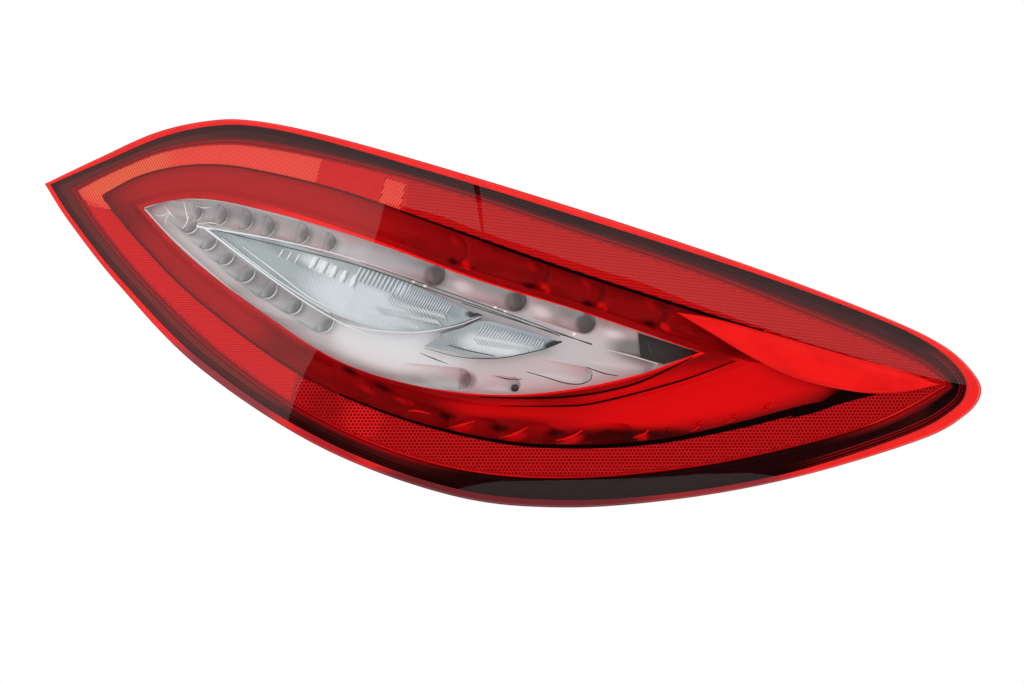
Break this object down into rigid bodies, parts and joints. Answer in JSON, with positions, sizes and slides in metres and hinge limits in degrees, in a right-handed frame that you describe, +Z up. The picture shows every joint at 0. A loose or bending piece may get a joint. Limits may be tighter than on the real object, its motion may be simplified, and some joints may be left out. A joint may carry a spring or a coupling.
{
  "type": "tail light cluster",
  "caption": "Leaf-shaped wraparound rear lamp with a red lens, a clear window over silver bowls, a reflex ring and a light guide blade, on studs.",
  "frame": {"origin": "on the axis of the middle stud, in the plane where its shoulder meets the car body", "axes": "+X along the lamp from the pointed upper end to the rounded lower end, +Y into the car along the studs, +Z up"},
  "size_m": [0.6014, 0.2115, 0.2489],
  "materials": {
    "lens_red": "clear red acrylic, polished",
    "window_clear": "clear acrylic, polished",
    "bezel_dark": "dark, satin",
    "reflex_red": "clear red acrylic with prisms",
    "ring_red": "dark red, faceted",
    "collar_red": "red, polished",
    "silvered": "vacuum metallised silver",
    "optic_clear": "clear acrylic, fluted",
    "guide_red": "red, polished",
    "board_green": "solder-masked laminate",
    "package_white": "white package",
    "package_red": "pale red package",
    "sink_metal": "bare, brushed",
    "screw_steel": "zinc plated",
    "housing_black": "moulded, satin",
    "cover_black": "moulded, satin",
    "seal_rubber": "foam and rubber, matt",
    "capacitor_can": "sleeved can",
    "chip_black": "moulded",
    "header_pale": "moulded",
    "terminal_brass": "tinned",
    "lead_sleeve": "sleeved leads"
  },
  "bodies": {
    "root": {"red_lens": "lens_red", "clear_window": "window_clear", "bezel": "bezel_dark", "reflex_ring": "reflex_red", "tail_reflector": "ring_red", "window_collar": "collar_red", "middle_reflector": "silvered", "reverse_optic": "optic_clear", "indicator_optic": "optic_clear", "light_blade": "guide_red", "middle_board": "board_green", "middle_leds": "package_white", "tail_board": "board_green", "tail_leds": "package_red", "blade_board": "board_green", "blade_leds": "package_red", "heat_sink": "sink_metal", "lamp_screws": "screw_steel", "rear_housing": "housing_black", "lens_seal": "seal_rubber", "driver_board": "board_green", "driver_capacitors": "capacitor_can", "driver_chips": "chip_black", "lead_headers": "header_pale", "driver_cover": "cover_black", "cover_seal": "seal_rubber", "cover_screws": "screw_steel", "connector_socket": "cover_black", "terminals": "terminal_brass", "inner_leads": "lead_sleeve", "mounting_studs": "screw_steel", "stud_seals": "seal_rubber", "body_gasket": "seal_rubber", "vent_caps": "seal_rubber"}
  },
  "joints": []
}
